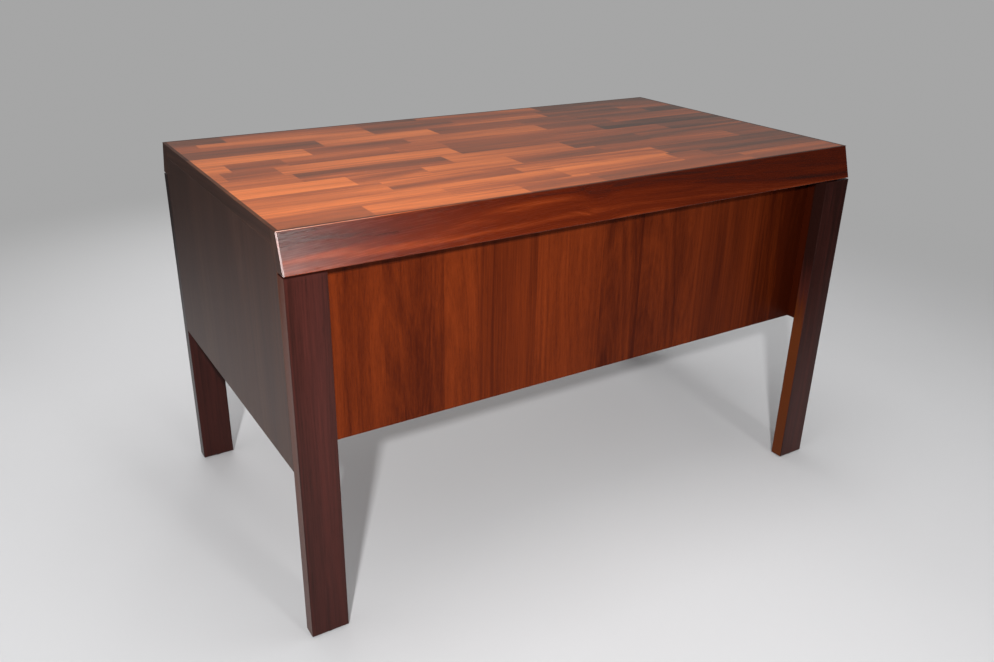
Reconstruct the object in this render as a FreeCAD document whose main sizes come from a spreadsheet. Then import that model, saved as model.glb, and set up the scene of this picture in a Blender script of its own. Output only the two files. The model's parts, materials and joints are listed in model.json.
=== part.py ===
import FreeCAD
import Part
import Sketcher
import math
import os
import re

# Pedestal desk: a veneered top between two canted fascia boards, four board legs,
# end panels and a recessed modesty panel, two hung pedestals with two drawers each,
# and a shallow drawer across the kneehole. The legs stop short of the fascia boards
# and leave a shadow gap, so the end panels carry the top.
# X runs along the desk, +Y points to the sitter, +Z is up. The origin is on the floor
# under the middle of the top. Left and right are as the visitor sees them.

# Driving dimensions in millimetres
SIZES = {
    "overall_length": 1265,
    "overall_height": 750,
    "top_depth": 678,
    "top_veneer_thickness": 1,
    "top_core_thickness": 25,
    "lipping_thickness": 4,
    "fascia_drop": 65,
    "fascia_lean": 20.5,
    "fascia_thickness": 28.5,
    "shadow_gap": 3,
    "leg_width": 69,
    "leg_thickness": 28.5,
    "foot_chamfer": 2,
    "arris_radius": 1,
    "glide_height": 2,
    "glide_foot_radius": 10,
    "glide_top_radius": 12,
    "nail_radius": 1.3,
    "nail_length": 14,
    "case_bottom_height": 333,
    "end_panel_thickness": 16,
    "modesty_panel_thickness": 16,
    "modesty_setback": 88.5,
    "pedestal_width": 355,
    "carcass_thickness": 16,
    "pedestal_bottom_thickness": 12,
    "fascia_clearance": 1.5,
    "face_gap": 0.5,
    "reveal": 3,
    "side_clearance": 1.5,
    "running_clearance": 0.3,
    "kicker_clearance": 2,
    "face_thickness": 20,
    "upper_drawer_height": 118,
    "pencil_drawer_height": 56,
    "pedestal_drawer_length": 500,
    "pencil_drawer_length": 400,
    "side_thickness": 12,
    "back_thickness": 12,
    "side_headroom": 6,
    "back_headroom": 6,
    "housing_depth": 6,
    "bottom_thickness": 5,
    "bottom_rise": 8,
    "groove_depth": 5,
    "runner_height": 12,
    "runner_width": 14,
    "runner_rise": 2,
    "pull_length": 150,
    "pull_height": 18,
    "pull_depth": 20,
    "pull_lean": 5,
    "pull_drop": 28,
    "pull_undercut": 8,
    "spigot_radius": 4,
    "spigot_length": 12,
    "spigot_spacing": 96,
    "pedestal_screw_inset": 60,
    "pencil_screw_inset": 40,
    "cleat_size": 15,
    "end_cleat_length": 420,
    "modesty_cleat_length": 400,
    "screw_radius": 1.8,
    "screw_length": 24,
    "screw_head_radius": 3.6,
    "screw_head_height": 2.2,
    "dowel_radius": 4,
    "dowel_length": 36,
    "drill_clearance": 0.15,
    "drill_overrun": 1,
}

# Places worked out from the driving dimensions
FORMULAS = {
    "half_length": "overall_length / 2",
    "half_depth": "top_depth / 2",
    "veneer_under": "overall_height - top_veneer_thickness",
    "top_under": "veneer_under - top_core_thickness",
    "face_fall": "fascia_drop - top_veneer_thickness",
    "face_slope": "fascia_lean / face_fall",
    "face_length": "sqrt(fascia_lean^2 + face_fall^2)",
    "kink_y": "half_depth + fascia_lean",
    "kink_z": "overall_height - fascia_drop",
    "fascia_width": "fascia_thickness * face_length / face_fall",
    "fascia_inner_y": "kink_y - fascia_width",
    "leg_top": "kink_z - shadow_gap",
    "core_top_y": "half_depth - fascia_width",
    "core_under_y": "core_top_y + top_core_thickness * face_slope",
    "leg_back_y": "kink_y - leg_thickness",
    "leg_x": "half_length - leg_width / 2",
    "end_panel_x": "half_length - end_panel_thickness",
    "modesty_y": "kink_y - modesty_setback",
    "modesty_back_y": "modesty_y - modesty_panel_thickness",
    "kneehole_x": "half_length - pedestal_width",
    "inner_side_x": "kneehole_x + carcass_thickness",
    "outer_side_x": "half_length - leg_width",
    "pedestal_floor": "case_bottom_height + pedestal_bottom_thickness",
    "carcass_front_y": "core_under_y - fascia_clearance",
    "face_back_y": "carcass_front_y + face_gap",
    "face_front_y": "face_back_y + face_thickness",
    "faces_top": "kink_z - reveal",
    "upper_face_bottom": "faces_top - upper_drawer_height",
    "pencil_face_bottom": "faces_top - pencil_drawer_height",
    "kicker_under": "faces_top - side_headroom + kicker_clearance",
}

# Shares of a cleat's or a panel's length at which its fasteners stand
CLEAT_UP_SHARES = (0.12, 0.5, 0.88)
CLEAT_SIDE_SHARES = (0.3, 0.7)
DOWEL_SHARES = (0.15, 0.5, 0.85)

# Which way each side lies along X, and each person's side along Y
SIDES = {"left": -1, "right": 1}
ENDS = {"visitor": -1, "sitter": 1}

# How near two places are taken as one
MATCH = 1000 * Part.Precision.confusion()

# Turns that lay an upright bar along an axis
TURNS = {
    ("x", 1): FreeCAD.Rotation(FreeCAD.Vector(0, 1, 0), 90),
    ("x", -1): FreeCAD.Rotation(FreeCAD.Vector(0, 1, 0), -90),
    ("y", 1): FreeCAD.Rotation(FreeCAD.Vector(1, 0, 0), -90),
    ("y", -1): FreeCAD.Rotation(FreeCAD.Vector(1, 0, 0), 90),
    ("z", 1): FreeCAD.Rotation(),
    ("z", -1): FreeCAD.Rotation(FreeCAD.Vector(1, 0, 0), 180),
}

doc = FreeCAD.newDocument("Desk")
sheet = doc.addObject("Spreadsheet::Sheet", "Sizes")
for row, (alias, value) in enumerate(SIZES.items(), start=1):
    sheet.set("A%d" % row, alias)
    sheet.set("B%d" % row, str(value))
    sheet.setAlias("B%d" % row, alias)
doc.recompute()

# Finished sub-parts, the cutters that wait for each board, and the screws of the case
subparts = []
cutters = {}
screws = []


# Formulas
def expand(formula):
    """Write a formula's words as cells of the sheet."""
    def cell(match):
        word = match.group()
        if word in FORMULAS:
            return "(" + expand(FORMULAS[word]) + ")"
        return "Sizes." + word if word in SIZES else word
    return re.sub(r"[a-z]\w*", cell, str(formula))


def number(formula):
    """A formula's value now."""
    return float(sheet.evalExpression(expand(formula)))


def bind(item, name, formula):
    item.setExpression(name, expand(formula))


def place(item, x=0, y=0, z=0):
    for axis, formula in zip("xyz", (x, y, z)):
        bind(item, "Placement.Base." + axis, formula)


def sided(side, low, high):
    """Bounds given away from the middle plane, on one side of it."""
    if side > 0:
        return low, high
    return "-(%s)" % high, "-(%s)" % low


def between(low, high, share):
    return "(%s) + %s * ((%s) - (%s))" % (low, share, high, low)


# Solids
def board(x, y, z):
    """A rectangular board between pairs of bounds."""
    item = doc.addObject("Part::Box", "Board")
    for name, (low, high) in zip(("Length", "Width", "Height"), (x, y, z)):
        bind(item, name, "(%s) - (%s)" % (high, low))
    place(item, x[0], y[0], z[0])
    return item


def rod(radius, length, start, axis, sign):
    """A round bar that starts at a point and runs along an axis."""
    item = doc.addObject("Part::Cylinder", "Rod")
    bind(item, "Radius", radius)
    bind(item, "Height", length)
    item.Placement = FreeCAD.Placement(FreeCAD.Vector(), TURNS[axis, sign])
    place(item, *start)
    return item


def fuse(first, second):
    item = doc.addObject("Part::Fuse", "Joined")
    item.Base = first
    item.Tool = second
    return item


def group(items):
    item = doc.addObject("Part::Compound", "Group")
    item.Links = items
    return item


def cut(base, tools):
    item = doc.addObject("Part::Cut", "Worked")
    item.Base = base
    item.Tool = group(tools)
    return item


# Profiles and their worked edges
def origin_plane(body, role):
    return next(item for item in body.Origin.OriginFeatures if item.Role == role)


def outline(body, role, corners, shift):
    """A closed outline on one of the body's own planes, each corner held at its formulas."""
    sketch = body.newObject("Sketcher::SketchObject", "Outline")
    sketch.AttachmentSupport = [(origin_plane(body, role), "")]
    sketch.MapMode = "FlatFace"
    bind(sketch, "AttachmentOffset.Base.z", shift)
    points = [FreeCAD.Vector(number(u), number(v), 0) for u, v in corners]
    for first, second in zip(points, points[1:] + points[:1]):
        sketch.addGeometry(Part.LineSegment(first, second), False)
    for line, corner in enumerate(corners):
        after = (line + 1) % len(corners)
        sketch.addConstraint(Sketcher.Constraint("Coincident", line, 2, after, 1))
        for kind, formula in zip(("DistanceX", "DistanceY"), corner):
            held = sketch.addConstraint(Sketcher.Constraint(kind, -1, 1, line, 1, number(formula)))
            bind(sketch, "Constraints[%d]" % held, formula)
    return sketch


def extruded(role, corners, length, shift=0):
    """A body padded from an outline along its plane's normal."""
    body = doc.addObject("PartDesign::Body", "Profile")
    sketch = outline(body, role, corners, shift)
    pad = body.newObject("PartDesign::Pad", "Pad")
    pad.Profile = sketch
    bind(pad, "Length", length)
    doc.recompute()
    return body


def eased(body, wanted, kind="Fillet", size="arris_radius"):
    """Round or chamfer the edges of a body whose middle point passes a test."""
    base = body.Tip
    chosen = []
    for index, edge in enumerate(base.Shape.Edges, start=1):
        middle = edge.valueAt((edge.FirstParameter + edge.LastParameter) / 2)
        if wanted(middle):
            chosen.append("Edge%d" % index)
    feature = body.newObject("PartDesign::" + kind, "Eased")
    feature.Base = (base, chosen)
    bind(feature, "Radius" if kind == "Fillet" else "Size", size)
    doc.recompute()
    return body


def same(value, formula):
    """Whether a coordinate lies at a formula's value."""
    return math.isclose(value, number(formula), abs_tol=MATCH)


# Bookkeeping
def keep(item, label):
    """Name a finished sub-part, which is written to its own file."""
    item.Label = label
    subparts.append(item)
    return item


def worked(item, label):
    """Keep a board once it is cut by the tools that wait for it."""
    tools = cutters.pop(label, [])
    return keep(cut(item, tools) if tools else item, label)


def wait(label, tool):
    cutters.setdefault(label, []).append(tool)


def screw(start, axis, sign, labels):
    """A pan-head screw whose head seats at start, and its hole in each board named."""
    shank = rod("screw_radius", "screw_length", start, axis, sign)
    head = rod("screw_head_radius", "screw_head_height", start, axis, -sign)
    screws.append(fuse(shank, head))
    hole = rod("screw_radius + drill_clearance", "screw_length + drill_overrun", start, axis, sign)
    for label in labels:
        wait(label, hole)
    return hole


# Dowels between the legs and the end panels
def make_dowels():
    dowels = []
    for hand, side in SIDES.items():
        x = "%d * (half_length - end_panel_thickness / 2)" % side
        for end, facing in ENDS.items():
            tip = "%d * (leg_back_y + dowel_length / 2)" % facing
            mouth = "%d * (leg_back_y + (dowel_length + drill_overrun) / 2)" % facing
            for share in DOWEL_SHARES:
                z = between("case_bottom_height", "leg_top", share)
                dowels.append(rod("dowel_radius", "dowel_length", (x, tip, z), "y", -facing))
                hole = rod("dowel_radius + drill_clearance", "dowel_length + drill_overrun",
                           (x, mouth, z), "y", -facing)
                wait("leg_%s_%s" % (end, hand), hole)
                wait("end_panel_" + hand, hole)
    keep(group(dowels), "end_panel_dowels")


# Strips that the drawers run on, and the kickers above them
def make_strip(side, wall, outward, z, reach, inset, panel):
    """A strip screwed to a wall that faces outward or towards the middle plane."""
    free = "(%s) + %d * runner_width" % (wall, outward)
    x = sided(side, wall, free) if outward > 0 else sided(side, free, wall)
    back = "face_back_y - %s" % reach
    strip = board(x, (back, "carcass_front_y"), (z, "%s + runner_height" % z))
    holes = []
    for y in ("%s + %s" % (back, inset), "carcass_front_y - %s" % inset):
        start = ("%d * (%s)" % (side, free), y, "%s + runner_height / 2" % z)
        holes.append(screw(start, "x", -side * outward, [panel]))
    return cut(strip, holes)


def make_strips():
    runners = []
    kickers = []
    for hand, side in SIDES.items():
        inner = "pedestal_inner_side_" + hand
        outer = "pedestal_outer_side_" + hand
        deep = ("pedestal_drawer_length", "pedestal_screw_inset")
        shallow = ("pencil_drawer_length", "pencil_screw_inset")
        for made, upper_z, pencil_z in (
            (runners, "upper_face_bottom + runner_rise", "pencil_face_bottom + runner_rise"),
            (kickers, "kicker_under", "kicker_under"),
        ):
            made.append(make_strip(side, "inner_side_x", 1, upper_z, *deep, inner))
            made.append(make_strip(side, "outer_side_x", -1, upper_z, *deep, outer))
            made.append(make_strip(side, "kneehole_x", -1, pencil_z, *shallow, inner))
    keep(group(runners), "drawer_runners")
    keep(group(kickers), "drawer_kickers")


# Cleats that hold the top down on the end panels and the modesty panel
def make_cleats():
    z = ("top_under - cleat_size", "top_under")
    middle = "top_under - cleat_size / 2"
    cleats = []
    for hand, side in SIDES.items():
        free = "end_panel_x - cleat_size"
        span = ("-end_cleat_length / 2", "end_cleat_length / 2")
        holes = []
        for share in CLEAT_UP_SHARES:
            start = ("%d * (end_panel_x - cleat_size / 2)" % side, between(*span, share), z[0])
            holes.append(screw(start, "z", 1, ["top_core"]))
        for share in CLEAT_SIDE_SHARES:
            start = ("%d * (%s)" % (side, free), between(*span, share), middle)
            holes.append(screw(start, "x", side, ["end_panel_" + hand]))
        cleats.append(cut(board(sided(side, free, "end_panel_x"), span, z), holes))
    span = ("-modesty_cleat_length / 2", "modesty_cleat_length / 2")
    free = "-modesty_back_y + cleat_size"
    holes = []
    for share in CLEAT_UP_SHARES:
        start = (between(*span, share), "-modesty_back_y + cleat_size / 2", z[0])
        holes.append(screw(start, "z", 1, ["top_core"]))
    for share in CLEAT_SIDE_SHARES:
        holes.append(screw((between(*span, share), free, middle), "y", -1, ["modesty_panel"]))
    cleats.append(cut(board(span, ("-modesty_back_y", free), z), holes))
    keep(group(cleats), "top_cleats")


# Top: a core with leaning edges, a lipping on each end, the veneer and the two fascia boards
def make_top():
    section = [
        ("-core_top_y", "veneer_under"),
        ("-core_under_y", "top_under"),
        ("core_under_y", "top_under"),
        ("core_top_y", "veneer_under"),
    ]
    core_end = "half_length - lipping_thickness"
    worked(extruded("YZ_Plane", section, "2 * (%s)" % core_end, "-(%s)" % core_end), "top_core")
    for hand, side in SIDES.items():
        start = sided(side, core_end, "half_length")[0]
        keep(extruded("YZ_Plane", section, "lipping_thickness", start), "end_lipping_" + hand)
    span = ("-half_length", "half_length")
    depth = ("-half_depth", "half_depth")
    keep(board(span, depth, ("veneer_under", "overall_height")), "top_veneer")
    for end, facing in ENDS.items():
        make_fascia(end, facing)


def make_fascia(end, facing):
    """A board that leans outwards as it goes down, its lower edge level."""
    corners = [
        ("%d * half_depth" % facing, "veneer_under"),
        ("%d * kink_y" % facing, "kink_z"),
        ("%d * fascia_inner_y" % facing, "kink_z"),
        ("%d * core_top_y" % facing, "veneer_under"),
    ]
    body = extruded("YZ_Plane", corners, "overall_length", "-half_length")
    face_middle = "(veneer_under + kink_z) / 2"

    def outer_arris(point):
        on_lower_edge = same(point.z, "kink_z") and same(facing * point.y, "kink_y")
        on_end = same(abs(point.x), "half_length") and same(point.z, face_middle)
        return on_lower_edge or (on_end and facing * point.y > number("half_depth"))
    keep(eased(body, outer_arris), "fascia_%s_side" % end)


# Legs with eased arrises and chamfered feet, and the glides nailed under them
def make_legs():
    half_u = "leg_width / 2"
    half_v = "leg_thickness / 2"
    corners = [
        ("-" + half_u, "-" + half_v),
        (half_u, "-" + half_v),
        (half_u, half_v),
        ("-" + half_u, half_v),
    ]
    glides = []

    def upright(point):
        return point.z > number("glide_height + foot_chamfer") and not same(point.z, "leg_top")
    for hand, side in SIDES.items():
        for end, facing in ENDS.items():
            x = "%d * leg_x" % side
            y = "%d * (leg_back_y + leg_thickness / 2)" % facing
            label = "leg_%s_%s" % (end, hand)
            body = extruded("XY_Plane", corners, "leg_top - glide_height", "glide_height")
            eased(body, lambda point: same(point.z, "glide_height"), "Chamfer", "foot_chamfer")
            eased(body, upright)
            place(body, x, y)
            foot = doc.addObject("Part::Cone", "Foot")
            bind(foot, "Radius1", "glide_foot_radius")
            bind(foot, "Radius2", "glide_top_radius")
            bind(foot, "Height", "glide_height")
            place(foot, x, y)
            nail_start = (x, y, "glide_height - drill_clearance")
            nail = rod("nail_radius", "nail_length", nail_start, "z", 1)
            glides.append(fuse(foot, nail))
            hole = rod("nail_radius + drill_clearance", "nail_length + drill_overrun", nail_start, "z", 1)
            wait(label, hole)
            worked(body, label)
    keep(group(glides), "leg_glides")


# Panels of the case
def make_panels():
    for hand, side in SIDES.items():
        corners = [
            ("-leg_back_y", "case_bottom_height"),
            ("leg_back_y", "case_bottom_height"),
            ("leg_back_y", "kink_z"),
            ("fascia_inner_y", "kink_z"),
            ("core_under_y", "top_under"),
            ("-core_under_y", "top_under"),
            ("-fascia_inner_y", "kink_z"),
            ("-leg_back_y", "kink_z"),
        ]
        start = sided(side, "end_panel_x", "half_length")[0]
        body = extruded("YZ_Plane", corners, "end_panel_thickness", start)
        worked(body, "end_panel_" + hand)
        make_pedestal(hand, side)
    worked(board(("-end_panel_x", "end_panel_x"), ("-modesty_y", "-modesty_back_y"),
                 ("case_bottom_height", "top_under")), "modesty_panel")


def make_pedestal(hand, side):
    """Two side panels and a floor between the modesty panel and the drawer faces."""
    y = ("-modesty_back_y", "carcass_front_y")
    inner = sided(side, "kneehole_x", "inner_side_x")
    outer = sided(side, "outer_side_x", "outer_side_x + carcass_thickness")
    floor = sided(side, "inner_side_x", "end_panel_x")
    worked(board(inner, y, ("case_bottom_height", "top_under")), "pedestal_inner_side_" + hand)
    worked(board(outer, y, ("pedestal_floor", "top_under")), "pedestal_outer_side_" + hand)
    worked(board(floor, y, ("case_bottom_height", "pedestal_floor")), "pedestal_bottom_" + hand)


# Drawers
def make_face(x, z, label):
    """A drawer face with eased front arrises, before its joints are cut."""
    corners = [(x[0], z[0]), (x[1], z[0]), (x[1], z[1]), (x[0], z[1])]
    body = extruded("XZ_Plane", corners, "face_thickness", "-face_front_y")
    eased(body, lambda point: same(point.y, "face_front_y"))
    return worked(body, label + "_face")


def make_pull(middle, z, label):
    """A pull with a leaning face and a rising underside, on two round spigots."""
    half = "pull_height / 2"
    corners = [
        ("face_front_y", "%s - %s + pull_undercut" % (z, half)),
        ("face_front_y + pull_depth", "%s - %s" % (z, half)),
        ("face_front_y + pull_depth - pull_lean", "%s + %s" % (z, half)),
        ("face_front_y", "%s + %s" % (z, half)),
    ]
    pull = extruded("YZ_Plane", corners, "pull_length", "%s - pull_length / 2" % middle)
    eased(pull, lambda point: not same(point.y, "face_front_y"))
    for side in SIDES.values():
        x = "%s + %d * spigot_spacing / 2" % (middle, side)
        at = (x, "face_front_y", "%s + pull_undercut / 2" % z)
        pull = fuse(pull, rod("spigot_radius", "spigot_length", at, "y", -1))
        hole = rod("spigot_radius + drill_clearance", "spigot_length + drill_overrun", at, "y", -1)
        wait(label + "_face", hole)
    keep(pull, label + "_pull")


def make_drawer(label, face_x, face_z, box_x, box_z, length):
    """A drawer: face, two housed sides, a back over the grooved-in bottom, and a pull."""
    back = "face_back_y - %s" % length
    housed = "face_back_y + housing_depth"
    inner = ("%s + side_thickness" % box_x[0], "%s - side_thickness" % box_x[1])
    floor = ("%s + bottom_rise" % box_z[0], "%s + bottom_rise + bottom_thickness" % box_z[0])
    sheet_x = ("%s - groove_depth" % inner[0], "%s + groove_depth" % inner[1])
    sheet_y = (back, "face_back_y + groove_depth")
    panel = board(sheet_x, sheet_y, floor)
    keep(panel, label + "_bottom")
    for hand, x in (("left", (box_x[0], inner[0])), ("right", (inner[1], box_x[1]))):
        side = board(x, (back, housed), box_z)
        wait(label + "_face", side)
        wait(label + "_side_" + hand, panel)
        worked(side, label + "_side_" + hand)
    wait(label + "_face", panel)
    keep(board(inner, (back, "%s + back_thickness" % back),
               (floor[1], "%s - back_headroom" % box_z[1])), label + "_back")
    make_pull("((%s) + (%s)) / 2" % face_x, "%s - pull_drop" % face_z[1], label)
    make_face(face_x, face_z, label)


def make_drawers():
    seat = "running_clearance"
    on_strip = "runner_rise + runner_height + %s" % seat
    top = "faces_top - side_headroom"
    for hand, side in SIDES.items():
        face_x = sided(side, "kneehole_x + reveal / 2", "outer_side_x - side_clearance")
        box_x = sided(side, "inner_side_x + side_clearance", "outer_side_x - side_clearance")
        lower_face = ("case_bottom_height", "upper_face_bottom - reveal")
        lower_box = ("pedestal_floor + %s" % seat, "upper_face_bottom + runner_rise - kicker_clearance")
        upper_face = ("upper_face_bottom", "faces_top")
        upper_box = ("upper_face_bottom + %s" % on_strip, top)
        make_drawer("lower_drawer_" + hand, face_x, lower_face, box_x, lower_box,
                    "pedestal_drawer_length")
        make_drawer("upper_drawer_" + hand, face_x, upper_face, box_x, upper_box,
                    "pedestal_drawer_length")
    pencil_x = ("-(kneehole_x - side_clearance)", "kneehole_x - side_clearance")
    make_drawer("pencil_drawer", pencil_x, ("pencil_face_bottom", "faces_top"), pencil_x,
                ("pencil_face_bottom + %s" % on_strip, top), "pencil_drawer_length")


make_dowels()
make_strips()
make_cleats()
make_top()
make_legs()
make_panels()
make_drawers()
keep(group(screws), "case_screws")
doc.recompute()

# Every object and sub-part is tested before a file is written
for item in doc.Objects:
    failed = {"Invalid", "Error"} & set(item.State)
    if failed:
        raise RuntimeError("%s is %s" % (item.Name, ", ".join(sorted(failed))))
if cutters:
    raise RuntimeError("no board took the cutters for " + ", ".join(sorted(cutters)))
for item in subparts:
    if item.Shape.isNull() or not item.Shape.isValid() or item.Shape.Volume <= 0:
        raise RuntimeError(item.Label + " has no valid shape")

os.makedirs("parts", exist_ok=True)
for item in subparts:
    item.Shape.exportStep(os.path.join("parts", item.Label + ".step"))
print(len(subparts), "sub-parts written")
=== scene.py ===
import json
import math
import random

import bmesh
import bpy
from mathutils import Matrix, Vector

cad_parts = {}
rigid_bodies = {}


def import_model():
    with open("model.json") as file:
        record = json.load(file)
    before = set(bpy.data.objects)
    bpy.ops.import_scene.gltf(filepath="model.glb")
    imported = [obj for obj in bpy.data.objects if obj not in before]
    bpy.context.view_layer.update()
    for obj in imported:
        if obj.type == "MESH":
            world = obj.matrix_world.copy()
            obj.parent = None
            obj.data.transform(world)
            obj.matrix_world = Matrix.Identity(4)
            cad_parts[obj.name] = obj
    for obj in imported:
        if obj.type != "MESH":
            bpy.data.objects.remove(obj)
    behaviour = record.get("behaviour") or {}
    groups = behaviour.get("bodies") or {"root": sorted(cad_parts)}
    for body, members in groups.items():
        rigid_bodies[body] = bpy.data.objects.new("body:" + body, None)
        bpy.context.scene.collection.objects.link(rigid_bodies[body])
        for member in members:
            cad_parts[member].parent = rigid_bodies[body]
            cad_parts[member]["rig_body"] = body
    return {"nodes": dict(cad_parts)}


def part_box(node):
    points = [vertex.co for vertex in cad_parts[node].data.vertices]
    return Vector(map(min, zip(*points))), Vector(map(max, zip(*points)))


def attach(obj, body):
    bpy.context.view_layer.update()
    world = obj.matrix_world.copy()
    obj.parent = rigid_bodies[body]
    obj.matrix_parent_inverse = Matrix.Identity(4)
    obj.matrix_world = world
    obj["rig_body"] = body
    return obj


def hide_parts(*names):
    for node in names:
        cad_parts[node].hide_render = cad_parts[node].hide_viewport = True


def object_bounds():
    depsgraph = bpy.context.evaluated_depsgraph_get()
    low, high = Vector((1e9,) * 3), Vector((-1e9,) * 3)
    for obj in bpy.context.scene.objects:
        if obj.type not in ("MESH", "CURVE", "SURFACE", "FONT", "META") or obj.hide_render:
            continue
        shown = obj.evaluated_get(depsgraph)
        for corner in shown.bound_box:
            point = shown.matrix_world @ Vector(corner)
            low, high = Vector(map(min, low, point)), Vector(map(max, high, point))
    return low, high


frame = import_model()
CAD_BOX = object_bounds()

# A pedestal desk in rosewood: a patchwork top between two canted fascia boards, four
# board legs, end panels, a recessed modesty panel and two hung pedestals of drawers.
# X runs along the desk, +Y points to the sitter, +Z is up. All lengths are in metres.

bl_info = {
    "name": "Patchwork Pedestal Desk",
    "version": (1, 0, 0),
    "blender": (4, 5, 0),
    "location": "View3D > Sidebar > Desk",
    "description": "Dresses the pieces of a rosewood pedestal desk and sets its stage",
    "category": "Add Mesh",
}

NODES = frame["nodes"]
BODY_OF = {name: item["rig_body"] for name, item in NODES.items()}

SIDES = ("left", "right")
PERSONS = ("visitor", "sitter")
DRAWERS = ("lower_drawer_left", "upper_drawer_left", "lower_drawer_right",
           "upper_drawer_right", "pencil_drawer")

# How near two corners are one, and the turns between faces that leave an edge flat or sharp
MERGE = 0.00001
FLAT_ANGLE = math.radians(1)
SHARP_ANGLE = math.radians(35)

# A face points along an axis, or leans along it, when its normal's share is above these
STRAIGHT = 0.9
LEANING = 0.5

# A worn face larger than this, in square metres, is a chamfer and not an eased edge
BROAD = 0.0001

# Axes of a board in the order along its grain, across it and through it
GRAIN_AXES = {"x": (0, 1, 2), "x_upright": (0, 2, 1), "y": (1, 0, 2), "y_upright": (1, 2, 0),
              "z": (2, 0, 1), "z_turned": (2, 1, 0)}

# Where a piece comes from in its log: how far along it at most, how far beside the pith,
# how near to the pith and how far from it, and how steeply the pith may run out
LOGS = {"board": (20.0, 0.03, 0.03, 0.08, 0.05), "leg": (20.0, 0.03, 0.03, 0.08, 0.02),
        "leaf": (40.0, 0.05, 0.03, 0.08, 0.1), "strip": (40.0, 0.05, 0.03, 0.09, 0.05)}

# Noise in the grain: turns a metre along it, across it and through it
WANDER_RATE = (1.1, 7.0, 7.0)
ZONE_RATE = (1.3, 16.0, 16.0)
STREAK_RATE = (3.0, 130.0, 130.0)
FIBRE_RATE = (9.0, 700.0, 700.0)
PORE_RATE = (45.0, 1400.0, 1400.0)

# Detail and roughness of the noise that makes the growth rings
RING_NOISE = {"Scale": 1.0, "Detail": 4.0, "Roughness": 0.62}

# The noise at which a pore starts to show and at which it is full
PORE_EDGE = (0.6, 0.72)

# Streaks and pores beside the strengths of the fibres and the pores, and how much paler
# a worn edge is
STREAK_SHARE = 1.4
PORE_SHARE = 0.35
WORN_LIFT = 0.12

# How much fibres change the gloss, their height beside a pore's depth, and the relief
FIBRE_GLOSS = 0.08
FIBRE_HEIGHT = 0.4
WOOD_RELIEF = {"Strength": 0.12, "Distance": 0.0004}

# Places of a wood's dark lines, its ground and its bright wood among its tones
TONE_PLACES = (0.12, 0.5, 0.95)

# Specks of the plain finishes: turns a metre, shade, change of gloss, and relief
SPECK_RATE = (900.0, 900.0, 900.0)
SPECK_SHADE = 0.72
SPECK_GLOSS = 0.2
SPECK_RELIEF = {"Strength": 0.15, "Distance": 0.0002}

# Where a mottled tint is fully dark and fully pale
MOTTLE_PLACES = (0.3, 0.7)

# Woods of the patchwork, from the darkest strip to the palest, and how far a strip's
# tone may lie from its wood's
WOODS = {"black": 0.1, "dark": 0.26, "deep": 0.39, "russet": 0.5, "tawny": 0.61,
         "amber": 0.73, "gold": 0.85}
STRIP_VARIETY = 0.04

# Rows of the patchwork from the sitter's edge to the visitor's. Each strip is its wood
# and its share of the row, from the left end.
STRIP_ROWS = (
    (("dark", 0.09), ("russet", 0.24), ("deep", 0.12), ("russet", 0.26), ("dark", 0.29)),
    (("deep", 0.04), ("tawny", 0.29), ("deep", 0.17), ("tawny", 0.19), ("black", 0.18),
     ("dark", 0.13)),
    (("dark", 0.22), ("amber", 0.21), ("deep", 0.18), ("russet", 0.12), ("dark", 0.18),
     ("dark", 0.09)),
    (("amber", 0.18), ("russet", 0.175), ("tawny", 0.265), ("deep", 0.155), ("russet", 0.225)),
    (("amber", 0.04), ("dark", 0.085), ("russet", 0.18), ("russet", 0.09), ("russet", 0.32),
     ("black", 0.285)),
    (("russet", 0.02), ("deep", 0.08), ("amber", 0.29), ("deep", 0.16), ("deep", 0.28),
     ("black", 0.17)),
    (("amber", 0.11), ("dark", 0.24), ("tawny", 0.225), ("black", 0.16), ("deep", 0.265)),
    (("gold", 0.17), ("tawny", 0.12), ("amber", 0.15), ("deep", 0.17), ("deep", 0.29),
     ("deep", 0.1)),
    (("amber", 0.2), ("tawny", 0.21), ("tawny", 0.28), ("dark", 0.31)),
    (("tawny", 0.26), ("tawny", 0.2), ("gold", 0.22), ("russet", 0.07), ("dark", 0.25)),
    (("deep", 0.13), ("amber", 0.23), ("tawny", 0.13), ("russet", 0.3), ("russet", 0.21)),
)

# The share of the top's length along which the painted highlight on its edge fades out
EDGE_HIGHLIGHT_SHARE = 0.3

# Veneer leaves of the modesty panel from the left, and of an end panel from the visitor's side: the
# tone of each, and its share. The modesty panel's last leaves on the right are darker as painted
# shade beside the right leg.
MODESTY_LEAVES_AND_SHADE = ((0.5, 0.082), (0.38, 0.067), (0.29, 0.029), (0.3, 0.067), (0.4, 0.059),
                  (0.36, 0.103), (0.44, 0.126), (0.31, 0.07), (0.16, 0.012), (0.3, 0.089),
                  (0.38, 0.036), (0.36, 0.097), (0.32, 0.06), (0.2, 0.05), (0.04, 0.054))
END_LEAVES = ((0.44, 1.0), (0.4, 1.0), (0.46, 1.0), (0.4, 1.0))

# How much paler an end panel is at its foot than at its top: a painted reflection of the floor
END_PAINTED_SHEEN = 0.2

# Tones of the broad faces of each leg, and of its narrow sides, at its top and its foot; the
# visitor's right leg is darker at its top as painted shade under the fascia
LEG_FACE_TONES_AND_SHADE = {"visitor_left": (0.36, 0.36), "visitor_right": (0.2, 0.46),
             "sitter_left": (0.36, 0.3), "sitter_right": (0.22, 0.22)}
LEG_SIDE_TONES_AND_SHADE = {"visitor_left": (0.8, 0.8), "visitor_right": (-0.7, 2.5),
             "sitter_left": (0.1, 0.2), "sitter_right": (0.2, 0.6)}

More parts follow.
